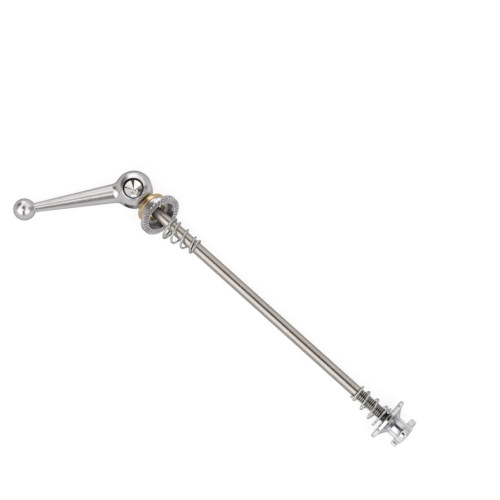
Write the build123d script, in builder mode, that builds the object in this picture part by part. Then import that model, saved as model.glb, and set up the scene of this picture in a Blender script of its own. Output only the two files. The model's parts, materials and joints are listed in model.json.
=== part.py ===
from build123d import *
from math import asin, cos, pi, radians, sin, sqrt, tan
import os

# Quick release skewer of a front wheel, put down on a table with its lever half open.
# The rod lies along X with the nut at the +X end, Z is up, and the origin is on the rod's
# axis half way between the fork ends. Lengths are in millimetres, angles in degrees.

# Wheel that the skewer holds
hub_width = 100.0
fork_end = 6.0

# Rod
rod_dia = 5.0
rod_past_pin = 3.8
rod_short_of_nut = 0.6
rod_end_chamfer = 0.5

# Cam pin
pin_dia = 9.0
pin_length = 11.8
pin_edge = 0.65
dimple_dia = 7.5
dimple_depth = 2.2
pin_thread_fit = 0.02

# Lever, turned in one piece
head_dia = 16.6
head_crown_height = 13.6
head_crown_slope = 18.0
cam_offset = 1.2
lever_reach = 47.9
cone_root_dia = 9.4
cone_tip_dia = 3.4
end_ball_dia = 9.5
root_fillet = 4.0
tip_fillet = 0.6
pin_running_fit = 0.05
slot_side_clearance = 0.35
slot_past_pin = 5.0
lever_to_rod_angle = 127.0

# Brass saddle bush
band_dia = 14.0
band_width = 2.2
band_edge = 0.35
dish_clearance = 0.3
dish_rim_dia = 12.0
sleeve_wall = 1.0
sleeve_length = 2.2
clamp_bore_dia = 8.4

# Clamp washer
washer_width = 5.4
hub_band_width = 2.3
washer_groove_width = 0.9
washer_groove_depth = 0.4
washer_edge = 0.35
washer_recess_depth = 2.6
washer_recess_floor_dia = 11.6

# Clamping faces of the washer and the nut
flange_dia = 19.2
recess_dia = 13.5
serration_count = 36
serration_width = 0.85
serration_depth = 0.35
serration_taper = 25.0
inner_land = 0.45

# How the loose clamp lies on the rod
rock_reach = 12.8
clamp_lean = 22.0
lean_aside = 12.0
cam_push = 1.75

# Adjusting nut
nut_backed_off = 13.0
nut_rim_width = 1.6
nut_edge = 0.35
nut_recess_depth = 1.6
nut_recess_floor_dia = 12.4
neck_start = 4.3
neck_dia = 7.8
flare_hollow = 0.45
lobe_start = 8.0
lobe_thickness = 2.8
lobe_count = 3
lobe_reach = 7.5
lobe_turn = 16.0
lobe_width = 5.0
lobe_core_dia = 8.4
lobe_root_fillet = 1.6
lobe_edge_round = 0.7
nut_boss_dia = 8.0
nut_boss_height = 0.4
nut_thread_fit = 0.05

# Nylon lock ring in the nut
ring_dia = 7.0
ring_width = 2.2
ring_recess = 0.3

# Conical springs, alike, one turned round
wire_dia = 0.9
spring_rod_fit = 0.2
spring_large_dia = 9.7
spring_length = 15.0
closed_pitch = 1.1
closed_turns = 1.0
active_turns = 2.75
path_steps_per_turn = 12
spring_sag_direction = 210.0
lever_spring_gap = 4.85
lever_spring_lean = 6.3
lever_spring_start = 36.0
nut_spring_gap = 1.15
nut_spring_lean = 4.0
nut_spring_start = 152.0

# Radii and lengths that follow from the sizes above
rod_r = rod_dia / 2
pin_r = pin_dia / 2
pin_half = pin_length / 2
head_r = head_dia / 2
end_ball_r = end_ball_dia / 2
pin_bore_r = pin_r + pin_running_fit
crown_half = head_crown_height / 2
crown_fall = (head_dia / 2 - pin_bore_r) * tan(radians(head_crown_slope))
slot_half = rod_r + slot_side_clearance
band_r = band_dia / 2
clamp_bore_r = clamp_bore_dia / 2
sleeve_r = clamp_bore_r + sleeve_wall
flange_r = flange_dia / 2
recess_r = recess_dia / 2
neck_r = neck_dia / 2
nut_bore_r = rod_r + nut_thread_fit
nut_length = lobe_start + lobe_thickness + nut_boss_height
clamp_half = (band_width + washer_width) / 2

# Places along the rod
closed_face_x = -(hub_width / 2 + fork_end)
pin_x = closed_face_x - cam_push - clamp_half - rock_reach
rock_x = pin_x + rock_reach
nut_x = hub_width / 2 + fork_end + nut_backed_off
rod_start_x = pin_x - rod_past_pin
rod_end_x = nut_x + nut_length - rod_short_of_nut


def along(axis, distance):
    """Moves along a direction, as a vector."""
    return Vector(*axis) * distance


# The clamp leans about an axis across the rod; clamp_low is the lowest point of its serrated face
rock_axis = Vector(0, cos(radians(lean_aside)), sin(radians(lean_aside)))
lean_towards = Vector(1, 0, 0).cross(rock_axis)
clamp_axis = along((1, 0, 0), cos(radians(clamp_lean))) + along(lean_towards, sin(radians(clamp_lean)))
clamp_up = (Vector(0, 0, 1) - along(clamp_axis, clamp_axis.Z)).normalized()
clamp_centre = Vector(rock_x, 0, 0)
clamp_low = clamp_centre + along(clamp_axis, clamp_half) - along(clamp_up, flange_r)

# A table under the two serrated faces, near where the flanges rest; the lever's ball droops to it
table_slope = (flange_r + clamp_low.Z) / (nut_x - clamp_low.X)
lever_turn = radians(360 - lever_to_rod_angle)
ball_x = pin_x + cam_offset * sin(lever_turn) + lever_reach * cos(lever_turn)
ball_y = -cam_offset * cos(lever_turn) + lever_reach * sin(lever_turn)
table_under_ball = clamp_low.Z + table_slope * (clamp_low.X - ball_x)
lever_droop = asin((-table_under_ball - end_ball_r) / -ball_y)

# Lever's own plane: X along the lever, Z along the cam pin, origin on the cam pin
lever_plane = Plane(
    origin=(pin_x, 0, 0),
    x_dir=(cos(lever_turn), sin(lever_turn) * cos(lever_droop), sin(lever_turn) * sin(lever_droop)),
    z_dir=(0, -sin(lever_droop), cos(lever_droop)),
)
head_centre = lever_plane.from_local_coords(Vector(0, -cam_offset, 0))
lever_axis = Axis(head_centre, lever_plane.x_dir)
lever_section = Plane(origin=head_centre, x_dir=lever_plane.x_dir, z_dir=lever_plane.z_dir)
pin_axis = Axis(lever_plane.origin, lever_plane.z_dir)
pin_section = Plane(origin=lever_plane.origin, x_dir=lever_plane.z_dir, z_dir=lever_plane.x_dir)

# Planes through the axes of the other turned pieces: X along the axis, Y is the radius
clamp_section = Plane(origin=clamp_centre, x_dir=clamp_axis, z_dir=along(rock_axis, -1))
clamp_turning = Axis(clamp_centre, clamp_axis)
nut_section = Plane(origin=(nut_x, 0, 0), x_dir=(1, 0, 0), z_dir=(0, -1, 0))


def cut_serrations(face):
    """Cuts the radial grooves of a clamping face into the part being built."""
    groove_start = recess_r + inner_land
    groove_length = flange_r - groove_start + serration_width
    with BuildSketch(face) as grooves:
        with PolarLocations(groove_start + groove_length / 2, serration_count):
            Rectangle(groove_length, serration_width)
    extrude(grooves.sketch, amount=-serration_depth, taper=serration_taper, mode=Mode.SUBTRACT)


# Lever: ball head, cone and end ball turned about one axis
with BuildPart() as lever:
    with BuildSketch(lever_section) as turned:
        Circle(head_r)
        with Locations((lever_reach, 0)):
            Circle(end_ball_r)
        with BuildLine():
            Polyline(
                (0, -cone_root_dia / 2),
                (0, cone_root_dia / 2),
                (lever_reach, cone_tip_dia / 2),
                (lever_reach, -cone_tip_dia / 2),
                close=True,
            )
        make_face()
        with Locations((lever_reach / 2, -head_dia)):
            Rectangle(2 * lever_reach, 2 * head_dia, mode=Mode.SUBTRACT)
        corners = turned.vertices().sort_by(Axis.X)
        fillet(corners[1], radius=root_fillet)
        fillet(turned.vertices().sort_by(Axis.X)[-2], radius=tip_fillet)
    revolve(axis=lever_axis)
    # Ends of the head, crowned about the pin, and the bore for the pin, off the ball's centre
    with BuildSketch(pin_section):
        for side in (1, -1):
            with BuildLine():
                Polyline(
                    (side * crown_half, 0),
                    (side * crown_half, pin_bore_r),
                    (side * (crown_half - crown_fall), head_r),
                    (side * head_dia, head_r),
                    (side * head_dia, 0),
                    close=True,
                )
            make_face()
    revolve(axis=pin_axis, mode=Mode.SUBTRACT)
    with BuildSketch(lever_plane):
        Circle(pin_bore_r)
    extrude(amount=head_r, both=True, mode=Mode.SUBTRACT)
    # Slot that the rod swings through, open at the head's free end
    with BuildSketch(lever_plane):
        with Locations((slot_past_pin - head_dia, 0)):
            Rectangle(2 * head_dia, 2 * head_dia)
    extrude(amount=slot_half, both=True, mode=Mode.SUBTRACT)

# Cam pin: barrel with a conical dimple in each end, tapped across for the rod
with BuildPart() as cam_pin:
    with BuildSketch(pin_section) as barrel:
        with BuildLine():
            Polyline(
                (pin_half - dimple_depth, 0),
                (pin_half, dimple_dia / 2),
                (pin_half, pin_r - pin_edge),
                (pin_half - pin_edge, pin_r),
                (pin_edge - pin_half, pin_r),
                (-pin_half, pin_r - pin_edge),
                (-pin_half, dimple_dia / 2),
                (dimple_depth - pin_half, 0),
                close=True,
            )
        make_face()
    revolve(axis=pin_axis)
    with BuildSketch(Plane.YZ.offset(rod_start_x - pin_thread_fit)):
        Circle(rod_r + pin_thread_fit)
    extrude(amount=rod_past_pin + pin_dia, mode=Mode.SUBTRACT)

# Rod, plain here: its thread is too fine to be cut
with BuildPart() as rod:
    with BuildSketch(Plane.YZ.offset(rod_start_x)):
        Circle(rod_r)
    extrude(amount=rod_end_x - rod_start_x)
    chamfer(rod.edges().sort_by(Axis.X)[-1], length=rod_end_chamfer)

# Saddle bush: band with a dished back for the ball head, and a sleeve into the washer
with BuildPart() as saddle_bush:
    seam_x = band_width - clamp_half
    dish_r = head_r + dish_clearance
    dish_rim_r = dish_rim_dia / 2
    dish_centre_x = -clamp_half - sqrt(dish_r**2 - dish_rim_r**2)
    dish_floor_x = dish_centre_x + sqrt(dish_r**2 - clamp_bore_r**2)
    with BuildSketch(clamp_section) as bush_profile:
        with BuildLine():
            Polyline(
                (-clamp_half, dish_rim_r),
                (-clamp_half, band_r),
                (seam_x, band_r),
                (seam_x, sleeve_r),
                (seam_x + sleeve_length, sleeve_r),
                (seam_x + sleeve_length, clamp_bore_r),
                (dish_floor_x, clamp_bore_r),
            )
            RadiusArc((dish_floor_x, clamp_bore_r), (-clamp_half, dish_rim_r), dish_r)
        make_face()
        fillet(bush_profile.vertices().group_by(Axis.Y)[-1], radius=band_edge)
    revolve(axis=clamp_turning)

# Clamp washer: hub band, groove and serrated flange, with a counterbore for the bush
with BuildPart() as clamp_washer:
    groove_x = seam_x + hub_band_width
    flange_x = groove_x + washer_groove_width
    floor_x = clamp_half - washer_recess_depth
    with BuildSketch(clamp_section):
        with BuildLine():
            hub_line = Polyline(
                (floor_x, washer_recess_floor_dia / 2),
                (floor_x, clamp_bore_r),
                (seam_x + sleeve_length, clamp_bore_r),
                (seam_x + sleeve_length, sleeve_r),
                (seam_x, sleeve_r),
                (seam_x, band_r - washer_edge),
                (seam_x + washer_edge, band_r),
                (groove_x, band_r),
            )
            SagittaArc((groove_x, band_r), (flange_x, band_r), -washer_groove_depth)
            Polyline(
                (flange_x, band_r),
                (flange_x, flange_r - washer_edge),
                (flange_x + washer_edge, flange_r),
                (clamp_half - washer_edge, flange_r),
                (clamp_half, flange_r - washer_edge),
                (clamp_half, recess_r),
                (floor_x, washer_recess_floor_dia / 2),
            )
        make_face()
    revolve(axis=clamp_turning)
    face_centre = clamp_section.from_local_coords(Vector(clamp_half, 0, 0))
    cut_serrations(Plane(origin=face_centre, x_dir=rock_axis, z_dir=clamp_axis))

# Adjusting nut: finger lobes, then the flange, flare, neck and boss turned about the rod
with BuildPart() as adjusting_nut:
    top_lobe = (0, -sin(radians(lobe_turn)), cos(radians(lobe_turn)))
    lobe_plane = Plane(origin=(nut_x + lobe_start, 0, 0), x_dir=top_lobe, z_dir=(1, 0, 0))
    lobe_tip_r = lobe_width / 2
    lobe_tip_x = lobe_reach - lobe_tip_r
    with BuildSketch(lobe_plane) as lobes:
        Circle(lobe_core_dia / 2)
        with PolarLocations(lobe_tip_x, lobe_count):
            Circle(lobe_tip_r)
        with PolarLocations(lobe_tip_x / 2, lobe_count):
            Rectangle(lobe_tip_x, lobe_width)
        roots = lobes.vertices().filter_by(lambda v: v.center().length < lobe_tip_x)
        fillet(roots, radius=lobe_root_fillet)
    extrude(amount=lobe_thickness)
    outline = adjusting_nut.faces().filter_by(Axis.X).edges()
    fillet(outline, radius=lobe_edge_round)
    with BuildSketch(nut_section):
        with BuildLine():
            Polyline(
                (nut_rim_width, flange_r - nut_edge),
                (nut_rim_width - nut_edge, flange_r),
                (nut_edge, flange_r),
                (0, flange_r - nut_edge),
                (0, recess_r),
                (nut_recess_depth, nut_recess_floor_dia / 2),
                (nut_recess_depth, nut_bore_r),
                (nut_length, nut_bore_r),
                (nut_length, nut_boss_dia / 2),
                (lobe_start + lobe_thickness / 2, nut_boss_dia / 2),
                (lobe_start + lobe_thickness / 2, neck_r),
                (neck_start, neck_r),
            )
            SagittaArc((neck_start, neck_r), (nut_rim_width, flange_r - nut_edge), -flare_hollow)
        make_face()
    revolve(axis=Axis.X)
    # Bore through the lobes, and the counterbore that holds the lock ring
    with BuildSketch(Plane.YZ.offset(nut_x)):
        Circle(nut_bore_r)
    extrude(amount=nut_length, mode=Mode.SUBTRACT)
    with BuildSketch(Plane.YZ.offset(nut_x + nut_length - ring_recess - ring_width)):
        Circle(ring_dia / 2)
    extrude(amount=ring_recess + ring_width, mode=Mode.SUBTRACT)
    cut_serrations(Plane(origin=(nut_x, 0, 0), x_dir=(0, 0, 1), z_dir=(-1, 0, 0)))

# Nylon ring that grips the thread
with BuildPart() as nut_lock_ring:
    with BuildSketch(Plane.YZ.offset(nut_x + nut_length - ring_recess - ring_width)):
        Circle(ring_dia / 2)
        Circle(nut_bore_r, mode=Mode.SUBTRACT)
    extrude(amount=ring_width)


def coil_point(turn, start):
    """Centre of the spring's wire after some turns from the small end, in the spring's own frame."""
    closed_rise = closed_pitch * closed_turns
    active_pitch = (spring_length - 2 * closed_rise) / active_turns
    rise = closed_pitch * min(turn, closed_turns)
    rise += active_pitch * min(max(turn - closed_turns, 0), active_turns)
    rise += closed_pitch * max(turn - closed_turns - active_turns, 0)
    small_r = rod_r + spring_rod_fit + wire_dia / 2
    coil_r = small_r + (spring_large_dia / 2 - small_r) * rise / spring_length
    angle = radians(start) + 2 * pi * turn
    return Vector(coil_r * cos(angle), coil_r * sin(angle), rise)


def spring_plane(large_end_x, facing, lean):
    """Frame of a spring whose small end is on the rod's axis and whose large end sags aside."""
    sag = radians(spring_sag_direction)
    tilt = radians(lean)
    axis = Vector(facing * cos(tilt), sin(tilt) * cos(sag), sin(tilt) * sin(sag))
    small_end = Vector(large_end_x - facing * spring_length * cos(tilt), 0, 0)
    return Plane(origin=small_end, x_dir=Vector(0, 0, 1).cross(axis), z_dir=axis)


def wind_spring(frame, start):
    """Sweeps the round wire along a conical coil with closed end turns."""
    all_turns = 2 * closed_turns + active_turns
    steps = round(all_turns * path_steps_per_turn)
    centres = [frame.from_local_coords(coil_point(all_turns * n / steps, start)) for n in range(steps + 1)]
    with BuildPart() as spring:
        with BuildLine() as coil:
            Spline(*centres)
        with BuildSketch(Plane(origin=coil.line @ 0, z_dir=coil.line % 0)):
            Circle(wire_dia / 2)
        sweep(path=coil.line)
    return spring


lever_spring_x = rock_x + clamp_half + lever_spring_gap
lever_side_spring = wind_spring(spring_plane(lever_spring_x, -1, lever_spring_lean), lever_spring_start)
nut_side_spring = wind_spring(spring_plane(nut_x - nut_spring_gap, 1, nut_spring_lean), nut_spring_start)

pieces = {
    "lever": lever,
    "cam_pin": cam_pin,
    "rod": rod,
    "saddle_bush": saddle_bush,
    "clamp_washer": clamp_washer,
    "lever_side_spring": lever_side_spring,
    "nut_side_spring": nut_side_spring,
    "adjusting_nut": adjusting_nut,
    "nut_lock_ring": nut_lock_ring,
}
os.makedirs("parts", exist_ok=True)
for label, piece in pieces.items():
    piece.part.label = label
    export_step(piece.part, f"parts/{label}.step")
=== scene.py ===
import json
from math import asin, atan2, cos, degrees, pi, radians, sin, sqrt, tan

import bmesh
import bpy
from mathutils import Matrix, Vector


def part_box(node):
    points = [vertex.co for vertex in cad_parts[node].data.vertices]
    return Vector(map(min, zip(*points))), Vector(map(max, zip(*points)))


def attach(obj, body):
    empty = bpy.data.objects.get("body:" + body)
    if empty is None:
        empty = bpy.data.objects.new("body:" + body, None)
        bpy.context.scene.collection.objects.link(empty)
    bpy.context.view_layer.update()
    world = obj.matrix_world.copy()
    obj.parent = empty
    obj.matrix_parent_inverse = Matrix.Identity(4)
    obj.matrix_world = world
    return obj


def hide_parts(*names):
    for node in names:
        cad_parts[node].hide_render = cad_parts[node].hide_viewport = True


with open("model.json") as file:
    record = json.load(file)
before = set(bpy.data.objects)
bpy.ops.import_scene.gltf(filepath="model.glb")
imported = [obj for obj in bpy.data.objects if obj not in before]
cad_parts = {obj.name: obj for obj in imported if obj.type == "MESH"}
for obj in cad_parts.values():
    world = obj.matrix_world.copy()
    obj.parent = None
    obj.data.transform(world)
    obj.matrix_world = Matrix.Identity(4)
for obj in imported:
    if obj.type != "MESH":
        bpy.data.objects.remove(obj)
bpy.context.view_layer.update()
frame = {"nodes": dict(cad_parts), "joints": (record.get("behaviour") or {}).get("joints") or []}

# %% [markdown]
# # A quick release skewer
# The skewer is a thin rod that clamps a bicycle wheel into its fork. A lever with an off-centre ball
# head pulls on the rod, a nut at the other end takes the pull, and two small springs keep the ends apart.
# The solid model gives every place and every way of moving. Here each piece gets its fine shape again,
# with smooth round faces, and the finish of polished metal. The sizes of the pieces and the camera's place
# are in millimetres, those of the table, the cards and the lamp in metres.

# %% Places that come from the frame
MM = 0.001
joints = {joint["name"]: joint for joint in frame["joints"]}
pin_centre = Vector(joints["lever_pivot"]["pos_m"]) / MM
pin_direction = Vector(joints["lever_pivot"]["axis"])
clamp_centre = Vector(joints["clamp_rock"]["pos_m"]) / MM
rock_axis = Vector(joints["clamp_rock"]["axis"])
clamp_lean = radians(joints["clamp_rock"]["range_deg"][1])
nut_x = joints["nut_spin"]["pos_m"][0] / MM
rod_low, rod_high = (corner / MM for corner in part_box("rod"))
print("rod from", round(rod_low.x, 2), "to", round(rod_high.x, 2), "mm, nut face at", round(nut_x, 2))

# %% [markdown]
# ## Turning on a lathe
# Most of the pieces were turned, so they are made the same way here: half of the section is drawn as a
# line, and the spin operator carries it once round the X axis. Round stretches of the line are arcs.
# The finished piece is then moved to its place, point by point, so that its object stays at the origin.

# %% How finely the pieces are turned and shaded
turning_steps = 192
thin_turning_steps = 96
weld_gap = 1e-5
same_place = 1e-4
sharp_corner = 28
print("turned pieces take", turning_steps, "steps round, thin ones", thin_turning_steps)


# %% Helpers for turned pieces
def arc(along, out, radius, start, end, steps):
    """Points of an arc in a half section, from one angle to another in degrees."""
    angles = [radians(start + (end - start) * n / steps) for n in range(steps + 1)]
    return [(along + radius * cos(a), out + radius * sin(a)) for a in angles]


def draw_section(bm, points, closed=False):
    """Draws a half section in the XZ plane as a line of edges."""
    verts = [bm.verts.new((along, 0, out)) for along, out in points]
    pairs = zip(verts, verts[1:] + verts[:1]) if closed else zip(verts, verts[1:])
    return verts + [bm.edges.new(pair) for pair in pairs]


def spin_round(bm, section, steps):
    """Carries a section once round the X axis and closes the seam and the poles."""
    bmesh.ops.spin(
        bm,
        geom=section,
        cent=(0, 0, 0),
        axis=(1, 0, 0),
        dvec=(0, 0, 0),
        angle=2 * pi,
        steps=steps,
        use_merge=True,
    )
    bmesh.ops.remove_doubles(bm, verts=bm.verts[:], dist=weld_gap)
    bmesh.ops.recalc_face_normals(bm, faces=bm.faces[:])


def add_object(bm, name):
    """Turns a finished mesh into an object of the scene, at the origin."""
    mesh = bpy.data.meshes.new(name)
    bm.to_mesh(mesh)
    bm.free()
    added = bpy.data.objects.new(name, mesh)
    bpy.context.scene.collection.objects.link(added)
    return added


def shade(mesh, sharp):
    """Shades a mesh smooth, up to the edges that turn by more than an angle in degrees."""
    mesh.shade_smooth()
    mesh.set_sharp_from_angle(angle=radians(sharp))


def finish_mesh(bm, name, place, sharp=sharp_corner):
    """Moves a mesh in millimetres to its place in the frame, and makes it a shaded piece."""
    bmesh.ops.transform(bm, matrix=Matrix.Scale(MM, 4) @ place, verts=bm.verts[:])
    piece = add_object(bm, name)
    shade(piece.data, sharp)
    return piece


def frame_along(x_direction, z_direction, origin):
    """Matrix that takes a piece's own axes to a place in the frame."""
    x_axis = x_direction.normalized()
    y_axis = z_direction.cross(x_axis).normalized()
    z_axis = x_axis.cross(y_axis)
    turn = Matrix((x_axis, y_axis, z_axis)).transposed().to_4x4()
    return Matrix.Translation(origin) @ turn


def dress(piece, node, body, slot, finish=None):
    """Lets a piece stand for a solid, move with a body and take a finish, the slot's own unless named."""
    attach(piece, body)
    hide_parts(node)
    for materials in (piece.data.materials, frame["nodes"][node].data.materials):
        materials.clear()
        materials.append(finishes[finish or slot])
    print(piece.name, "has", len(piece.data.polygons), "faces")


# %% [markdown]
# ## Finishes
# Polished metal is hardly a colour, it is what the metal mirrors. So each finish is the plain metal shader
# with a tone that drifts a little from place to place and a roughness that a fine noise breaks up, as
# hand polish, drawing and turning leave it. Object coordinates keep the pattern on the piece. Shade is
# painted into the tone in hollows and where pieces lie close, and there the metal is made rougher too.

# %% What the finishes share
drift_scale = 220
ramp_ends = (0.3, 0.7)
grain_detail = 4
# How dark the painted shade in hollows gets, and how rough those hollows are made.
deepest_shade = 0.03
hollow_roughness = 0.4


# %% Helpers for finishes
def new_finish(name, metallic):
    """A material with its shader, and coordinates that stay on the piece."""
    material = bpy.data.materials.new(name)
    material.use_nodes = True
    shader = material.node_tree.nodes["Principled BSDF"]
    shader.inputs["Metallic"].default_value = metallic
    coords = material.node_tree.nodes.new("ShaderNodeTexCoord")
    return material, shader, coords.outputs["Object"]


def noise(material, coords, scale, stretch=(1, 1, 1), detail=2):
    """A noise on the piece's own coordinates, drawn out along an axis where stretch is small."""
    nodes, links = material.node_tree.nodes, material.node_tree.links
    mapping = nodes.new("ShaderNodeMapping")
    mapping.inputs["Scale"].default_value = stretch
    texture = nodes.new("ShaderNodeTexNoise")
    texture.inputs["Scale"].default_value = scale
    texture.inputs["Detail"].default_value = detail
    links.new(coords, mapping.inputs["Vector"])
    links.new(mapping.outputs["Vector"], texture.inputs["Vector"])
    return texture.outputs["Fac"]


def ramp(material, factor, low, high):
    """Turns a factor into a tone between two colours."""
    blend = material.node_tree.nodes.new("ShaderNodeValToRGB")
    for end, position, colour in zip(blend.color_ramp.elements, ramp_ends, (low, high)):
        end.position = position
        end.color = (*colour, 1)
    material.node_tree.links.new(factor, blend.inputs["Fac"])
    return blend.outputs["Color"]


def spread(material, factor, low, high, socket, start=0, end=1):
    """Carries a factor to a socket as a number between two limits, and gives it for further use."""
    links = material.node_tree.links
    limits = material.node_tree.nodes.new("ShaderNodeMapRange")
    limits.inputs["From Min"].default_value = start
    limits.inputs["From Max"].default_value = end
    limits.inputs["To Min"].default_value = low
    limits.inputs["To Max"].default_value = high
    links.new(factor, limits.inputs["Value"])
    links.new(limits.outputs["Result"], socket)
    return limits.outputs["Result"]


def paint_shade_in_hollows(material, tone, reach, full_shade_at, no_shade_at, own=True):
    """Darkens a tone in hollows, of its own piece or also between pieces, out to a reach in millimetres.

    The tone is painted darker as shade, darkest at one share of open sky and ending at another.
    Gives the shaded tone, and the share left unshaded, which also makes the hollows rougher.
    """
    nodes, links = material.node_tree.nodes, material.node_tree.links
    # Painted shade: the tone is darkened where the AO node finds little open sky nearby.
    hollows = nodes.new("ShaderNodeAmbientOcclusion")
    hollows.only_local = own
    hollows.inputs["Distance"].default_value = reach * MM
    shade_node = nodes.new("ShaderNodeVectorMath")
    shade_node.operation = "SCALE"
    links.new(tone, shade_node.inputs[0])
    sky = hollows.outputs["AO"]
    unshaded_share = spread(material, sky, deepest_shade, 1, shade_node.inputs["Scale"], full_shade_at, no_shade_at)
    return shade_node.outputs["Vector"], unshaded_share


def metal(name, dark, light, smooth, rough, grain, painted_shade, stretch=(1, 1, 1), edge=(1, 1, 1)):
    """A metal whose tone and roughness drift over the piece; edge is its tint at a glancing angle."""
    material, shader, coords = new_finish(name, metallic=1)
    shader.inputs["Specular Tint"].default_value = (*edge, 1)
    tone = ramp(material, noise(material, coords, drift_scale), dark, light)
    # Each entry paints shade into the tone in hollows, and the last one's unshaded share makes those
    # hollows rougher.
    for hollows in painted_shade:
        tone, unshaded_share = paint_shade_in_hollows(material, tone, **hollows)
    links = material.node_tree.links
    links.new(tone, shader.inputs["Base Color"])
    dull_and_rough = material.node_tree.nodes.new("ShaderNodeMath")
    fine_noise = noise(material, coords, grain, stretch, grain_detail)
    spread(material, fine_noise, smooth, rough, dull_and_rough.inputs[0])
    spread(material, unshaded_share, hollow_roughness, 0, dull_and_rough.inputs[1])
    links.new(dull_and_rough.outputs[0], shader.inputs["Roughness"])
    return material


# %% The finishes
def polished_alloy():
    tones = (0.9, 0.89, 0.9), (0.96, 0.95, 0.96)
    tint = (0.28, 0.27, 0.28)
    # Painted shade in the lever's own hollows.
    painted_shade = dict(reach=2.4, full_shade_at=0, no_shade_at=1)
    return metal("polished_alloy", *tones, smooth=0.2, rough=0.28, grain=900, edge=tint, painted_shade=[painted_shade])


def satin_alloy():
    tones = (0.84, 0.82, 0.83), (0.92, 0.9, 0.91)
    tint = (0.4, 0.38, 0.4)
    # Painted shade in the washer's recess, grooves and teeth.
    painted_shade = dict(reach=4, full_shade_at=0.2, no_shade_at=0.93)
    return metal("satin_alloy", *tones, smooth=0.2, rough=0.27, grain=900, edge=tint, painted_shade=[painted_shade])


def bright_alloy():
    tones = (0.86, 0.86, 0.88), (0.91, 0.91, 0.93)
    tint = (0.42, 0.42, 0.44)
    # Painted shade in the nut's own hollows and grooves.
    painted_shade = dict(reach=2.4, full_shade_at=0, no_shade_at=1)
    return metal("bright_alloy", *tones, smooth=0.06, rough=0.12, grain=900, edge=tint, painted_shade=[painted_shade])


def polished_steel():
    tones = (0.80, 0.79, 0.77), (0.86, 0.85, 0.83)
    # Painted shade on the pin where the lever's head and the rod lie close.
    painted_shade = dict(reach=1.0, full_shade_at=0.55, no_shade_at=0.8, own=False)
    return metal("polished_steel", *tones, smooth=0.04, rough=0.09, grain=900, painted_shade=[painted_shade])


def drawn_rod():
    tones = (0.61, 0.57, 0.535), (0.67, 0.63, 0.585)
    look = dict(smooth=0.17, rough=0.27, grain=2400, stretch=(0.02, 1, 1), edge=(0.5, 0.48, 0.46))
    # Painted shade in the roots of the thread.
    shade_in_thread = dict(reach=0.5, full_shade_at=0.66, no_shade_at=0.84)
    # Painted shade on the rod inside the washer's and the nut's holes, and next to the springs.
    shade_in_holes = dict(reach=7, full_shade_at=0.05, no_shade_at=0.8, own=False)
    return metal("drawn_rod", *tones, **look, painted_shade=[shade_in_thread, shade_in_holes])


def turned_brass():
    tones = (0.92, 0.7, 0.39), (0.98, 0.75, 0.43)
    tint = (0.8, 0.66, 0.4)
    # Painted shade in the bush's bore and dish, from the rod, the washer and the lever's head round it.
    painted_shade = dict(reach=9, full_shade_at=-0.1, no_shade_at=0.85, own=False)
    return metal("brass", *tones, smooth=0.14, rough=0.26, grain=1400, edge=tint, painted_shade=[painted_shade])


def spring_wire():
    tones = (0.78, 0.78, 0.77), (0.86, 0.86, 0.85)
    tint = (0.35, 0.35, 0.35)
    # Painted shade where the spring's turns lie close together.
    painted_shade = dict(reach=0.8, full_shade_at=0, no_shade_at=1)
    return metal("spring_wire", *tones, smooth=0.06, rough=0.14, grain=1600, edge=tint, painted_shade=[painted_shade])


def natural_nylon():
    tones = (0.82, 0.82, 0.78), (0.88, 0.88, 0.85)
    material, shader, coords = new_finish("nylon", metallic=0)
    shader.inputs["Roughness"].default_value = 0.5
    tone = ramp(material, noise(material, coords, scale=700), *tones)
    material.node_tree.links.new(tone, shader.inputs["Base Color"])
    return material


finishes = {
    "polished_alloy": polished_alloy(),
    "satin_alloy": satin_alloy(),
    "bright_alloy": bright_alloy(),
    "polished_steel": polished_steel(),
    "drawn_rod": drawn_rod(),
    "brass": turned_brass(),
    "spring_wire": spring_wire(),
    "nylon": natural_nylon(),
}
print("finishes:", ", ".join(finishes))

# %% [markdown]
# ## The lever
# The lever is one turned bar: a ball head, a long cone and a small ball at the end. Both balls run into
# the cone through a hollow round, so the section needs the point where that round meets each of them.
# The head then gets a bore for the cam pin, with a crowned end on each side, and a slot for the rod. Both
# cross inside the head, so they are turned and drawn as solids of their own and cut by boolean modifiers.

# %% Sizes of the lever
head_r = 8.3
crown_half = 6.8
crown_slope = radians(18)
cam_offset = 1.2
lever_reach = 47.9
cone_root_r = 4.7
cone_tip_r = 1.7
end_ball_r = 4.75
root_round = 4.0
tip_round = 0.6
lever_to_rod_angle = 127.0
pin_r = 4.5
pin_half = 5.9
bore_r = 4.55
rod_r = 2.5
slot_half = 2.85
slot_past_pin = 5.0
head_steps = 72
root_steps = 16
tip_steps = 10
end_ball_steps = 48

# %% Section of the lever
cone_slope = atan2(cone_root_r - cone_tip_r, lever_reach)


def round_meets_ball(ball_r, round_r, cone_r):
    """Angle, seen from a ball's centre, at which a hollow round joins the ball to a straight bar."""
    return degrees(asin((round_r + cone_r * cos(cone_slope)) / (ball_r + round_r)))


root_angle = round_meets_ball(head_r, root_round, cone_root_r) - degrees(cone_slope)
tip_angle = round_meets_ball(end_ball_r, tip_round, cone_tip_r) + degrees(cone_slope)
root_reach = head_r + root_round
tip_reach = end_ball_r + tip_round
cone_side = 270 - degrees(cone_slope)
root_x, root_out = root_reach * cos(radians(root_angle)), root_reach * sin(radians(root_angle))
tip_x, tip_out = lever_reach - tip_reach * cos(radians(tip_angle)), tip_reach * sin(radians(tip_angle))

lever_section = arc(0, 0, head_r, 180, root_angle, head_steps)
lever_section += arc(root_x, root_out, root_round, 180 + root_angle, cone_side, root_steps)
lever_section += arc(tip_x, tip_out, tip_round, cone_side, 360 - tip_angle, tip_steps)
lever_section += arc(lever_reach, 0, end_ball_r, 180 - tip_angle, 0, end_ball_steps)
print("the head's round leaves the ball at", round(root_angle, 1), "degrees")

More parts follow.
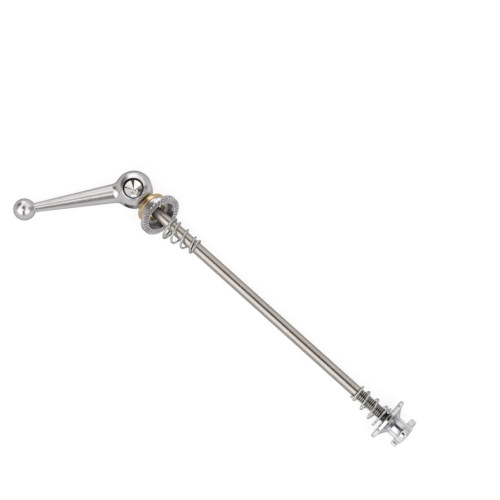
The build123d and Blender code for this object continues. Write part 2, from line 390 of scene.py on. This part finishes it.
# %% Turning the lever
lever_turn = radians(360 - lever_to_rod_angle)
pin_droop = atan2(-pin_direction.y, pin_direction.z)
aside = sin(lever_turn)
lever_direction = Vector((cos(lever_turn), aside * cos(pin_droop), aside * sin(pin_droop)))
lever_place = frame_along(lever_direction, pin_direction, pin_centre)

bm = bmesh.new()
spin_round(bm, draw_section(bm, lever_section), turning_steps)
bmesh.ops.translate(bm, vec=(0, -cam_offset, 0), verts=bm.verts[:])
lever = finish_mesh(bm, "lever_polished", lever_place)
print("lever turned with", len(lever.data.polygons), "faces")

# %% Cutting the bore and the slot
past_head = 2 * head_r
crown_fall = (head_r - bore_r) * tan(crown_slope)
crown = [(crown_half, bore_r), (crown_half - crown_fall, head_r), (past_head, head_r), (past_head, 0)]
bm = bmesh.new()
bore_section = [(-along, out) for along, out in crown[::-1]] + crown
spin_round(bm, draw_section(bm, bore_section), turning_steps)
bmesh.ops.rotate(bm, cent=(0, 0, 0), matrix=Matrix.Rotation(pi / 2, 3, "Y"), verts=bm.verts[:])
bore_cutter = finish_mesh(bm, "bore_cutter", lever_place)

bm = bmesh.new()
bmesh.ops.create_cube(bm, size=1)
bmesh.ops.scale(bm, vec=(2 * past_head, 2 * past_head, 2 * slot_half), verts=bm.verts[:])
bmesh.ops.translate(bm, vec=(slot_past_pin - past_head, 0, 0), verts=bm.verts[:])
slot_cutter = finish_mesh(bm, "slot_cutter", lever_place)


def cut_away(piece, cutters):
    """Takes the cutters' shapes out of a piece and keeps the result as its mesh."""
    for cutter in cutters:
        boolean = piece.modifiers.new(cutter.name, "BOOLEAN")
        boolean.operation = "DIFFERENCE"
        boolean.solver = "EXACT"
        boolean.object = cutter
    shaped = piece.evaluated_get(bpy.context.evaluated_depsgraph_get())
    mesh = bpy.data.meshes.new_from_object(shaped)
    piece.modifiers.clear()
    piece.data = mesh
    for cutter in cutters:
        bpy.data.objects.remove(cutter)
    shade(mesh, sharp_corner)


cut_away(lever, [bore_cutter, slot_cutter])
dress(lever, "lever", "lever", "polished_alloy")

# %% [markdown]
# ## The cam pin
# The pin in the head is a polished steel barrel. Each end has a wide cone sunk into it, which shows as a
# bright fan of reflections in the middle of the head, and a chamfer round the rim. A small ring next to the
# tip of the cone keeps the shading straight, because smooth shading would round the whole cone off.

# %% Turning the cam pin
dimple_r = 3.75
dimple_depth = 2.2
pin_edge = 0.65
tip_share = 0.02
pin_sharp = 20
dimple_floor = pin_half - dimple_depth
pin_section = [
    (-dimple_floor, 0),
    (-dimple_floor - dimple_depth * tip_share, dimple_r * tip_share),
    (-pin_half, dimple_r),
    (-pin_half, pin_r - pin_edge),
    (pin_edge - pin_half, pin_r),
    (pin_half - pin_edge, pin_r),
    (pin_half, pin_r - pin_edge),
    (pin_half, dimple_r),
    (dimple_floor + dimple_depth * tip_share, dimple_r * tip_share),
    (dimple_floor, 0),
]
bm = bmesh.new()
spin_round(bm, draw_section(bm, pin_section), turning_steps)
pin_place = frame_along(pin_direction, lever_direction, pin_centre)
cam_pin = finish_mesh(bm, "cam_pin_polished", pin_place, pin_sharp)
dress(cam_pin, "cam_pin", "skewer", "polished_steel")

# %% [markdown]
# ## The rod and its thread
# The rod is drawn bar with a rolled thread at the nut's end. The thread is a ridge that climbs round a
# thinner core. Its section is drawn once and spun through all its turns while it moves along by a pitch
# a turn, which is what a die does, and the two ends of the ridge are closed.

# %% Sizes of the thread
thread_pitch = 0.8
thread_start = 53.4
core_r = 2.05
crest_r = 2.48
crest_half = 0.15
foot_half = 0.36
foot_sunk = 0.05
rod_chamfer = 0.5
steps_per_turn = 32
thread_sharp = 22

# %% Turning the rod and spinning the thread
thread_length = rod_high.x - rod_chamfer - thread_start
ridge_turns = int(thread_length / thread_pitch) - 1
ridge_start = thread_start + thread_pitch / 2

bm = bmesh.new()
rod_section = [
    (rod_low.x, 0),
    (rod_low.x, rod_r),
    (thread_start - rod_chamfer / 2, rod_r),
    (thread_start, core_r),
    (rod_high.x - rod_chamfer / 2, core_r),
    (rod_high.x, core_r - rod_chamfer / 2),
    (rod_high.x, 0),
]
spin_round(bm, draw_section(bm, rod_section), thin_turning_steps)

ridge_section = [
    (ridge_start - foot_half, core_r - foot_sunk),
    (ridge_start - crest_half, crest_r),
    (ridge_start + crest_half, crest_r),
    (ridge_start + foot_half, core_r - foot_sunk),
]
ridge = draw_section(bm, ridge_section, closed=True)
first_face = bmesh.ops.contextual_create(bm, geom=ridge)["faces"]
bmesh.ops.spin(
    bm,
    geom=first_face + ridge,
    cent=(0, 0, 0),
    axis=(1, 0, 0),
    dvec=(thread_pitch / steps_per_turn, 0, 0),
    angle=2 * pi * ridge_turns,
    steps=ridge_turns * steps_per_turn,
    use_merge=False,
)
bmesh.ops.recalc_face_normals(bm, faces=bm.faces[:])
rod = finish_mesh(bm, "rod_drawn", Matrix.Identity(4), thread_sharp)
dress(rod, "rod", "skewer", "drawn_rod")

# %% [markdown]
# ## The saddle bush and the clamp washer
# The head bears on a brass bush with a dished back, and the bush sits in an aluminium washer. Both lean
# on the rod because their bore is much wider. They are turned upright and then leaned over together.
# The washer's face has radial teeth: the spin is fine enough to give each tooth eight steps, and the
# points that lie in a groove are pushed in.

# %% Sizes of the clamp
band_r = 7.0
band_width = 2.2
band_edge = 0.35
dish_clearance = 0.3
dish_r = head_r + dish_clearance
dish_rim_r = 6.0
sleeve_r = 5.2
sleeve_length = 2.2
clamp_bore_r = 4.2
washer_width = 5.4
hub_band_width = 2.3
washer_groove = 0.9
groove_depth = 0.4
flange_edge = 0.35
flange_r = 9.6
recess_r = 6.75
washer_floor_r = 5.8
washer_recess = 2.6
tooth_count = 36
steps_per_tooth = 8
steps_in_groove = (2, 3, 4, 5)
tooth_depth = 0.35
inner_land = 0.45
tooth_run_in = 0.2
dish_steps = 12
edge_steps = 5
groove_steps = 10
washer_sharp = 16

# %% Turning the saddle bush
clamp_half = (band_width + washer_width) / 2
seam = band_width - clamp_half
dish_centre = -clamp_half - sqrt(dish_r**2 - dish_rim_r**2)
lean_towards = Vector((1, 0, 0)).cross(rock_axis)
clamp_direction = Vector((cos(clamp_lean), 0, 0)) + lean_towards * sin(clamp_lean)
clamp_place = frame_along(clamp_direction, lean_towards, clamp_centre)

bore_angle = degrees(asin(clamp_bore_r / dish_r))
rim_angle = degrees(asin(dish_rim_r / dish_r))
bush_section = arc(dish_centre, 0, dish_r, bore_angle, rim_angle, dish_steps)
bush_section += arc(-clamp_half + band_edge, band_r - band_edge, band_edge, 180, 90, edge_steps)
bush_section += arc(seam - band_edge, band_r - band_edge, band_edge, 90, 0, edge_steps)
bush_section += [(seam, sleeve_r), (seam + sleeve_length, sleeve_r), (seam + sleeve_length, clamp_bore_r)]
bm = bmesh.new()
spin_round(bm, draw_section(bm, bush_section, closed=True), turning_steps)
saddle_bush = finish_mesh(bm, "saddle_bush_turned", clamp_place)
dress(saddle_bush, "saddle_bush", "clamp", "brass")


# %% Cutting teeth into a turned face
def cut_teeth(bm, face_x, inward):
    """Pushes in the points of a flat face that lie in the grooves between its teeth."""
    step = 2 * pi / (tooth_count * steps_per_tooth)
    groove_start = recess_r + inner_land + tooth_run_in / 2
    in_grooves = []
    for vert in bm.verts:
        out = sqrt(vert.co.y**2 + vert.co.z**2)
        place_in_tooth = round(atan2(vert.co.y, vert.co.z) / step) % steps_per_tooth
        on_face = abs(vert.co.x - face_x) < same_place
        if on_face and out > groove_start and place_in_tooth in steps_in_groove:
            in_grooves.append(vert)
    bmesh.ops.translate(bm, vec=(inward * tooth_depth, 0, 0), verts=in_grooves)
    return len(in_grooves)


# %% Turning the clamp washer
groove_x = seam + hub_band_width
flange_x = groove_x + washer_groove
groove_round = (groove_depth**2 + washer_groove**2 / 4) / (2 * groove_depth)
groove_swing = degrees(asin(washer_groove / 2 / groove_round))
floor_x = clamp_half - washer_recess
washer_section = [
    (floor_x, clamp_bore_r),
    (seam + sleeve_length, clamp_bore_r),
    (seam + sleeve_length, sleeve_r),
    (seam, sleeve_r),
    (seam, band_r - flange_edge),
    (seam + flange_edge, band_r),
]
washer_section += arc(
    groove_x + washer_groove / 2,
    band_r + groove_round - groove_depth,
    groove_round,
    270 - groove_swing,
    270 + groove_swing,
    groove_steps,
)
washer_section += [
    (flange_x, flange_r - flange_edge),
    (flange_x + flange_edge, flange_r),
    (clamp_half - flange_edge, flange_r),
    (clamp_half, flange_r - flange_edge),
    (clamp_half, recess_r + inner_land + tooth_run_in),
    (clamp_half, recess_r + inner_land),
    (clamp_half, recess_r),
    (floor_x, washer_floor_r),
]
bm = bmesh.new()
spin_round(bm, draw_section(bm, washer_section, closed=True), tooth_count * steps_per_tooth)
print("points in the washer's grooves:", cut_teeth(bm, clamp_half, inward=-1))
clamp_washer = finish_mesh(bm, "clamp_washer_turned", clamp_place, washer_sharp)
dress(clamp_washer, "clamp_washer", "clamp", "polished_alloy", "satin_alloy")

# %% [markdown]
# ## The adjusting nut
# The nut was turned with a flared flange and a neck, and its end was milled into three finger lobes. The
# lobes' outline is a few arcs: a round tip, a straight side, a hollow root and a bit of the core. It is
# drawn as a loop, pulled in to the hole for the lock ring, extruded and bevelled all round.

# %% Sizes of the nut
nut_rim = 1.6
nut_recess = 1.6
nut_floor_r = 6.2
neck_start = 4.3
neck_r = 3.9
flare_hollow = 0.45
lobe_start = 8.0
lobe_thickness = 2.8
lobe_count = 3
lobe_tip_r = 2.5
lobe_reach = 7.5
lobe_turn = radians(16)
lobe_core_r = 4.2
lobe_root = 1.6
lobe_bevel = 0.7
boss_r = 4.0
boss_height = 0.4
ring_r = 3.5
ring_width = 2.2
ring_recess = 0.3
nut_bore_r = 2.55
flare_steps = 14
lobe_tip_steps = 12
lobe_root_steps = 8
lobe_core_steps = 6
lobe_bevel_steps = 5
rim_turn = 1.2
clear_of_ring = 0.1
nut_sharp = 20
nut_length = lobe_start + lobe_thickness + boss_height

# %% Turning the flange and the neck
flare_from = Vector((neck_start, neck_r))
flare_to = Vector((nut_rim, flange_r - flange_edge))
flare_chord = flare_to - flare_from
flare_round = (flare_hollow**2 + flare_chord.length_squared / 4) / (2 * flare_hollow)
flare_normal = Vector((flare_chord.y, -flare_chord.x)).normalized()
flare_centre = (flare_from + flare_to) / 2 + flare_normal * (flare_round - flare_hollow)
flare_start = degrees(atan2(flare_from.y - flare_centre.y, flare_from.x - flare_centre.x))
flare_end = degrees(atan2(flare_to.y - flare_centre.y, flare_to.x - flare_centre.x))

nut_section = [
    (nut_rim - flange_edge, flange_r),
    (flange_edge, flange_r),
    (0, flange_r - flange_edge),
    (0, recess_r + inner_land + tooth_run_in),
    (0, recess_r + inner_land),
    (0, recess_r),
    (nut_recess, nut_floor_r),
    (nut_recess, nut_bore_r),
    (nut_length - ring_recess - ring_width, nut_bore_r),
    (nut_length - ring_recess - ring_width, ring_r),
    (nut_length, ring_r),
    (nut_length, boss_r),
    (lobe_start + lobe_thickness / 2, boss_r),
    (lobe_start + lobe_thickness / 2, neck_r),
]
nut_section += arc(flare_centre.x, flare_centre.y, flare_round, flare_start, flare_end, flare_steps)
bm = bmesh.new()
spin_round(bm, draw_section(bm, nut_section, closed=True), tooth_count * steps_per_tooth)
print("points in the nut's grooves:", cut_teeth(bm, 0, inward=1))


# %% Adding the finger lobes
def lobe_outline():
    """Outline of the lobes as points across the rod, the top one leaning aside."""
    tip_centre = lobe_reach - lobe_tip_r
    root_out = sqrt((lobe_core_r + lobe_root) ** 2 - (lobe_tip_r + lobe_root) ** 2)
    root_side = lobe_tip_r + lobe_root
    root_turn = degrees(atan2(root_side, root_out))
    half = arc(tip_centre, 0, lobe_tip_r, 0, 90, lobe_tip_steps)
    half += arc(root_out, root_side, lobe_root, 270, 180 + root_turn, lobe_root_steps)
    half += arc(0, 0, lobe_core_r, root_turn, 180 / lobe_count, lobe_core_steps)[1:]
    other = [(out, -side) for out, side in half[1:-1]]
    one_lobe = other[::-1] + half
    points = []
    for n in range(lobe_count):
        turn = 2 * pi * n / lobe_count - lobe_turn
        points += [(o * cos(turn) - s * sin(turn), o * sin(turn) + s * cos(turn)) for o, s in one_lobe]
    return points


def is_rim(edge):
    """Tells the edges round the lobes' outline from those along their sides and round the ring's hole."""
    level = abs(edge.verts[0].co.x - edge.verts[1].co.x) < same_place
    outside = min(vert.co.yz.length for vert in edge.verts) > ring_r + clear_of_ring
    return edge.calc_length() > 0 and edge.calc_face_angle(0) > rim_turn and outside and level


lobes = bmesh.new()
outline = [lobes.verts.new((lobe_start, side, up)) for up, side in lobe_outline()]
loop = [lobes.edges.new(pair) for pair in zip(outline, outline[1:] + outline[:1])]
inner = bmesh.ops.extrude_edge_only(lobes, edges=loop)["geom"]
for vert in (item for item in inner if isinstance(item, bmesh.types.BMVert)):
    vert.co.yz = vert.co.yz.normalized() * ring_r
pulled = bmesh.ops.extrude_face_region(lobes, geom=lobes.faces[:], use_keep_orig=True)["geom"]
moved = [item for item in pulled if isinstance(item, bmesh.types.BMVert)]
bmesh.ops.translate(lobes, vec=(lobe_thickness, 0, 0), verts=moved)
bmesh.ops.recalc_face_normals(lobes, faces=lobes.faces[:])
bmesh.ops.bevel(
    lobes,
    geom=[edge for edge in lobes.edges if is_rim(edge)],
    offset=lobe_bevel,
    offset_type="OFFSET",
    segments=lobe_bevel_steps,
    profile=0.5,
    affect="EDGES",
    material=-1,
)
bmesh.ops.recalc_face_normals(lobes, faces=lobes.faces[:])
lobe_mesh = bpy.data.meshes.new("finger_lobes")
lobes.to_mesh(lobe_mesh)
lobes.free()
bm.from_mesh(lobe_mesh)
bpy.data.meshes.remove(lobe_mesh)
nut = finish_mesh(bm, "adjusting_nut_turned", Matrix.Translation((nut_x, 0, 0)), nut_sharp)
dress(nut, "adjusting_nut", "nut", "polished_alloy", "bright_alloy")

# %% [markdown]
# ## The lock ring
# A nylon ring sits in the nut's end and grips the thread, so the nut stays where it was set. Only its end
# face can be seen.

# %% Turning the lock ring
ring_fit = 0.02
ring_chamfer = 0.2
ring_end = nut_length - ring_recess
ring_section = [
    (ring_end - ring_width, nut_bore_r),
    (ring_end - ring_width, ring_r - ring_fit),
    (ring_end, ring_r - ring_fit),
    (ring_end, nut_bore_r + ring_chamfer),
    (ring_end - ring_chamfer, nut_bore_r),
]
bm = bmesh.new()
spin_round(bm, draw_section(bm, ring_section, closed=True), thin_turning_steps)
lock_ring = finish_mesh(bm, "nut_lock_ring_turned", Matrix.Translation((nut_x, 0, 0)))
dress(lock_ring, "nut_lock_ring", "nut", "nylon")

# %% [markdown]
# ## The springs
# Both springs are wound alike from bright wire: a closed turn at each end and open turns between, on a
# cone whose small end fits round the rod. The wire's round section is drawn at the start of the coil and
# extruded a step at a time, each new ring carried on by the coil's own turn, rise and widening.

# %% Sizes of the springs
wire_r = 0.45
wire_sides = 16
wire_sharp = 40
spring_rod_fit = 0.2
spring_small_r = rod_r + spring_rod_fit + wire_r
spring_large_r = 4.85
spring_length = 15.0
closed_pitch = 1.1
closed_turns = 1.0
active_turns = 2.75
coil_steps_per_turn = 40
coil_glance = 0.002
spring_sag_direction = radians(210)
lever_spring_gap = 4.85
lever_spring_lean = 6.3
lever_spring_start = 36
nut_spring_gap = 1.15
nut_spring_lean = 4.0
nut_spring_start = 152


# %% Winding a spring
def coil_point(turn, start):
    """Centre of the wire after some turns from the small end."""
    closed_rise = closed_pitch * closed_turns
    active_pitch = (spring_length - 2 * closed_rise) / active_turns
    rise = closed_pitch * min(turn, closed_turns)
    rise += active_pitch * min(max(turn - closed_turns, 0), active_turns)
    rise += closed_pitch * max(turn - closed_turns - active_turns, 0)
    coil_r = spring_small_r + (spring_large_r - spring_small_r) * rise / spring_length
    angle = start + 2 * pi * turn
    return Vector((coil_r * cos(angle), coil_r * sin(angle), rise))


def wire_ring(turn, start):
    """Matrix of the wire's section after some turns: Z along the wire, X away from the coil's axis."""
    ahead = coil_point(turn + coil_glance, start) - coil_point(turn - coil_glance, start)
    centre = coil_point(turn, start)
    return frame_along(Vector((centre.x, centre.y, 0)), ahead, centre)


def wind_spring(node, body, place, start):
    """Extrudes the round wire along the coil, closes its ends and puts the spring in its place."""
    all_turns = 2 * closed_turns + active_turns
    steps = round(all_turns * coil_steps_per_turn)
    rings = [wire_ring(all_turns * n / steps, start) for n in range(steps + 1)]
    bm = bmesh.new()
    made = bmesh.ops.create_circle(bm, cap_ends=False, radius=wire_r, segments=wire_sides)
    bmesh.ops.transform(bm, matrix=rings[0], verts=made["verts"])
    edges = bm.edges[:]
    bmesh.ops.edgeloop_fill(bm, edges=edges)
    for here, there in zip(rings, rings[1:]):
        grown = bmesh.ops.extrude_edge_only(bm, edges=edges)["geom"]
        verts = [item for item in grown if isinstance(item, bmesh.types.BMVert)]
        edges = [item for item in grown if isinstance(item, bmesh.types.BMEdge)]
        edges = [edge for edge in edges if edge.verts[0] in verts and edge.verts[1] in verts]
        bmesh.ops.transform(bm, matrix=there @ here.inverted(), verts=verts)
    bmesh.ops.edgeloop_fill(bm, edges=edges)
    bmesh.ops.recalc_face_normals(bm, faces=bm.faces[:])
    spring = finish_mesh(bm, f"{node}_wound", place, wire_sharp)
    dress(spring, node, body, "spring_wire")


def spring_place(large_end_x, facing, lean):
    """Place of a spring whose small end is on the rod's axis and whose large end sags aside."""
    tilt = radians(lean)
    sag = Vector((0, cos(spring_sag_direction), sin(spring_sag_direction)))
    axis = Vector((facing * cos(tilt), 0, 0)) + sag * sin(tilt)
    small_end = Vector((large_end_x - facing * spring_length * cos(tilt), 0, 0))
    return frame_along(Vector((0, 0, 1)).cross(axis), axis, small_end)


# %% The two springs
lever_spring_x = clamp_centre.x + clamp_half + lever_spring_gap
lever_spring_place = spring_place(lever_spring_x, facing=-1, lean=lever_spring_lean)
wind_spring("lever_side_spring", "lever_spring", lever_spring_place, radians(lever_spring_start))
nut_spring_place = spring_place(nut_x - nut_spring_gap, facing=1, lean=nut_spring_lean)
wind_spring("nut_side_spring", "nut_spring", nut_spring_place, radians(nut_spring_start))

# %% [markdown]
# ## The table and the light
# The skewer lies on a pale table, on the nut's flange, the washer's flange and the lever's end ball. Those
# three don't have the same height under the rod, so the table leans a little in the rod's frame. Polished
# metal needs something to mirror: bright cards stand where a studio has its soft boxes, and grey ones
# where the room is darker. Only mirror rays see the cards, so they never show in the picture itself.

# %% Where the skewer stands
ball_points = [v.co for v in lever.data.vertices if (v.co / MM - pin_centre).length > lever_reach / 2]
clamp_points = [v.co for v in clamp_washer.data.vertices]
nut_points = [v.co for v in nut.data.vertices]
settling_rounds = 4
table_up = Vector((0, 0, 1))
for _ in range(settling_rounds):
    ball_foot, clamp_foot, nut_foot = (
        min(points, key=table_up.dot) for points in (ball_points, clamp_points, nut_points)
    )
    table_up = (ball_foot - clamp_foot).cross(nut_foot - clamp_foot).normalized()
print("the table leans", round(degrees(table_up.angle(Vector((0, 0, 1)))), 2), "degrees in the rod's frame")
for piece in (lever, cam_pin, saddle_bush, clamp_washer, nut):
    clear = min(table_up.dot(v.co - clamp_foot) for v in piece.data.vertices) / MM
    print(piece.name, "is", round(clear, 2), "mm above the table")


# %% Table
def stage_sheet(name, size, place, colour, strength):
    """A flat matt sheet for the stage, with a colour and a glow of that colour."""
    bm = bmesh.new()
    bmesh.ops.create_grid(bm, x_segments=1, y_segments=1, size=0.5)
    bmesh.ops.scale(bm, vec=(*size, 1), verts=bm.verts[:])
    bmesh.ops.transform(bm, matrix=place, verts=bm.verts[:])
    sheet = add_object(bm, name)
    material = bpy.data.materials.new(name)
    material.use_nodes = True
    shader = material.node_tree.nodes["Principled BSDF"]
    shader.inputs["Roughness"].default_value = 1
    shader.inputs["Specular IOR Level"].default_value = 0
    shader.inputs["Base Color"].default_value = (*colour, 1)
    shader.inputs["Emission Color"].default_value = (*colour, 1)
    shader.inputs["Emission Strength"].default_value = strength
    sheet.data.materials.append(material)
    return sheet


table_size = (6, 6)
white = (1, 1, 1)
table_place = frame_along(nut_foot - clamp_foot, table_up, clamp_foot)
table = stage_sheet("table", table_size, table_place, white, strength=0)
print("the table is", table_size, "m")


# %% Seen white by the eye and by mirrors
def sees_background(tree, mirror_share):
    """A factor that is one for camera rays and a share of it for mirror and see-through rays."""
    path = tree.nodes.new("ShaderNodeLightPath")
    total = path.outputs["Is Camera Ray"]
    for name in ("Is Glossy Ray", "Is Transmission Ray"):
        either = tree.nodes.new("ShaderNodeMath")
        either.operation = "MULTIPLY_ADD"
        either.inputs[1].default_value = mirror_share
        tree.links.new(path.outputs[name], either.inputs[0])
        tree.links.new(total, either.inputs[2])
        total = either.outputs[0]
    return total


def glow_for_background(material, share, mirror_share):
    """Mixes a white glow into a material for the rays that see the background."""
    tree = material.node_tree
    glow = tree.nodes.new("ShaderNodeEmission")
    mix = tree.nodes.new("ShaderNodeMixShader")
    part = tree.nodes.new("ShaderNodeMath")
    part.operation = "MULTIPLY"
    part.inputs[1].default_value = share
    tree.links.new(sees_background(tree, mirror_share), part.inputs[0])
    tree.links.new(part.outputs[0], mix.inputs["Fac"])
    tree.links.new(tree.nodes["Principled BSDF"].outputs["BSDF"], mix.inputs[1])
    tree.links.new(glow.outputs["Emission"], mix.inputs[2])
    tree.links.new(mix.outputs["Shader"], tree.nodes["Material Output"].inputs["Surface"])


glow_for_background(table.active_material, share=0.8, mirror_share=0.5)

# %% Light from all round
room_strength = 0.75
background_strength = 1.0
world = bpy.data.worlds.new("studio")
bpy.context.scene.world = world
world.use_nodes = True
sky = world.node_tree.nodes["Background"]
room_light = world.node_tree.nodes.new("ShaderNodeMapRange")
room_light.inputs["To Min"].default_value = room_strength
room_light.inputs["To Max"].default_value = background_strength
world.node_tree.links.new(sees_background(world.node_tree, mirror_share=1), room_light.inputs["Value"])
world.node_tree.links.new(room_light.outputs["Result"], sky.inputs["Strength"])
sky.inputs["Color"].default_value = (*white, 1)
print("the background is white, and the room gives", room_strength, "of its light")


# %% Cards that the metal mirrors
def facing(direction, distance):
    """Place of a sheet that faces the skewer from some direction."""
    towards = Vector(direction).normalized()
    return Matrix.Translation(towards * distance) @ towards.to_track_quat("Z", "Y").to_matrix().to_4x4()


def card(name, place, size, level, tint=white):
    """A card that only mirrors see, at some level of brightness; gives its material."""
    sheet = stage_sheet(name, size, place, tint, level)
    paper = sheet.active_material
    paper.node_tree.nodes["Principled BSDF"].inputs["Base Color"].default_value = (0, 0, 0, 1)
    sheet.visible_camera = False
    sheet.visible_diffuse = False
    sheet.visible_shadow = False
    sheet.visible_transmission = False
    return paper


# %% A ceiling over the table
ceiling_height = 1.6
ceiling_size = (4.4, 4.4)
ceiling_tint = (1.0, 0.97, 0.95)
dark_core = 0.5


def shade_ceiling(paper, front, back, dark, spot, reach):
    """Lets a ceiling fade from front to back, with a soft dark spot beside the camera.

    The spot's place and reach are shares of the ceiling's height, and its core is all dark.
    """
    nodes, links = paper.node_tree.nodes, paper.node_tree.links
    coords = nodes.new("ShaderNodeTexCoord")
    place = nodes.new("ShaderNodeSeparateXYZ")
    links.new(coords.outputs["Object"], place.inputs["Vector"])
    fade = nodes.new("ShaderNodeMapRange")
    fade.inputs["From Min"].default_value = -ceiling_height
    fade.inputs["From Max"].default_value = ceiling_height
    fade.inputs["To Min"].default_value = front
    fade.inputs["To Max"].default_value = back
    links.new(place.outputs["Y"], fade.inputs["Value"])
    round_spot = nodes.new("ShaderNodeMapping")
    round_spot.inputs["Location"].default_value = (-spot[0] / reach[0], -spot[1] / reach[1], 0)
    wide, deep = (share * ceiling_height for share in reach)
    round_spot.inputs["Scale"].default_value = (1 / wide, 1 / deep, 0)
    links.new(coords.outputs["Object"], round_spot.inputs["Vector"])
    falloff = nodes.new("ShaderNodeTexGradient")
    falloff.gradient_type = "SPHERICAL"
    links.new(round_spot.outputs["Vector"], falloff.inputs["Vector"])
    level = nodes.new("ShaderNodeMapRange")
    level.interpolation_type = "SMOOTHSTEP"
    level.inputs["From Max"].default_value = dark_core
    level.inputs["To Max"].default_value = dark
    links.new(falloff.outputs["Fac"], level.inputs["Value"])
    links.new(fade.outputs["Result"], level.inputs["To Min"])
    links.new(level.outputs["Result"], nodes["Principled BSDF"].inputs["Emission Strength"])


above = facing((0, 0, 1), ceiling_height)
ceiling_paper = card("ceiling", above, ceiling_size, level=1, tint=ceiling_tint)
shade_ceiling(ceiling_paper, front=1.3, back=0.7, dark=0.04, spot=(-0.1, 0.04), reach=(0.42, 0.5))
print("a ceiling hangs", ceiling_height, "m over the skewer")

# %% What mirrors see of the table, which is brighter beside the nut
table_lift = 0.00005
table_tint = (1.0, 0.98, 0.97)
towards_nut = 0.29
on_table = table_place @ Matrix.Translation((0, 0, table_lift))
card("table_card", on_table, size=(4, 4), level=0.55, tint=table_tint)
beside_nut = table_place @ Matrix.Translation((towards_nut, 0, 2 * table_lift))
card("table_by_nut", beside_nut, size=(0.36, 0.5), level=0.95)
print("two cards lie on the table")


# %% Walls, soft boxes and dark things round the table
def around(azimuth, elevation):
    """Direction from the skewer, by its angle round the table and above it."""
    turn, rise = radians(azimuth), radians(elevation)
    return Vector((cos(turn) * cos(rise), sin(turn) * cos(rise), sin(rise)))


wall_spacing = 45
wall_distance = 2.2
wall_elevation = 14
wall_size = (2.0, 2.0)
wall_level = 0.38
wall_tint = (1.0, 0.96, 0.94)
for azimuth in range(0, 360, wall_spacing):
    wall_place = facing(around(azimuth, wall_elevation), wall_distance)
    card(f"room_{azimuth}", wall_place, wall_size, wall_level, wall_tint)

# Azimuth, elevation, width, height and level of each soft box
box_distance = 1.5
soft_boxes = {
    "front": (-98, 28, 1.7, 0.9, 1.25),
    "right": (-8, 28, 1.5, 0.9, 1.1),
    "back": (95, 30, 1.5, 1.0, 0.75),
    "back_left": (143, 24, 0.8, 0.7, 1.1),
}
for name, (azimuth, elevation, width, height, level) in soft_boxes.items():
    card(f"soft_box_{name}", facing(around(azimuth, elevation), box_distance), (width, height), level)

# Azimuth, elevation, width and height of each dark thing
dark_distance = 1.3
dark_level = 0.1
dark_tint = (1.0, 0.85, 0.85)
dark_things = {
    "camera_stand": (-53, 40, 0.55, 1.1),
    "door": (54, 24, 0.2, 0.9),
    "shelf": (186, 30, 0.8, 0.7),
}
for name, (azimuth, elevation, width, height) in dark_things.items():
    dark_place = facing(around(azimuth, elevation), dark_distance)
    card(name, dark_place, (width, height), dark_level, dark_tint)
print(len(soft_boxes), "soft boxes and", len(dark_things), "dark things stand before grey walls")

# %% A soft lamp for the shadow
lamp_data = bpy.data.lights.new("soft_lamp", "AREA")
lamp_data.energy = 6
lamp_data.size = 0.8
lamp = bpy.data.objects.new("soft_lamp", lamp_data)
bpy.context.scene.collection.objects.link(lamp)
lamp.location = (0.25, -0.35, 0.9)
lamp.rotation_euler = (-lamp.location).to_track_quat("-Z", "Y").to_euler()
lamp.visible_glossy = False
print("the lamp is", lamp_data.energy, "W")

# %% [markdown]
# ## The camera
# The photograph was taken from high above the nut's side, a little rolled. The values were fitted so that
# the lever's ball, the cam pin, the rod's edges and the nut's rim fall where the photograph has them.

# %% Camera
view_azimuth = radians(35.98)
view_elevation = radians(74.23)
view_roll = radians(6.69)
view_distance = 479.7
view_target = Vector((-20.44, 14.85, 0))
lens = 80.83
sensor_width = 36
nearest = 0.01

level_part = cos(view_elevation)
back = Vector((sin(view_azimuth) * level_part, -cos(view_azimuth) * level_part, sin(view_elevation)))
right = Vector((cos(view_azimuth), sin(view_azimuth), 0))
camera_centre = (view_target + back * view_distance) * MM
camera_data = bpy.data.cameras.new("camera")
camera_data.lens = lens
camera_data.sensor_width = sensor_width
camera_data.clip_start = nearest
camera = bpy.data.objects.new("camera", camera_data)
bpy.context.scene.collection.objects.link(camera)
camera.matrix_world = frame_along(right, back, camera_centre) @ Matrix.Rotation(view_roll, 4, "Z")
bpy.context.scene.camera = camera
bpy.context.scene.view_settings.view_transform = "Standard"
print("camera at", [round(value, 3) for value in camera.matrix_world.translation])

# %% The camera's own body, dark in the mirrors
camera_body_size = (0.16, 0.12)
camera_body_level = 0.02
body_place = Matrix.Translation(camera_centre) @ facing(back, 0)
card("camera_body", body_place, camera_body_size, camera_body_level)
print("the camera's body is a card too")
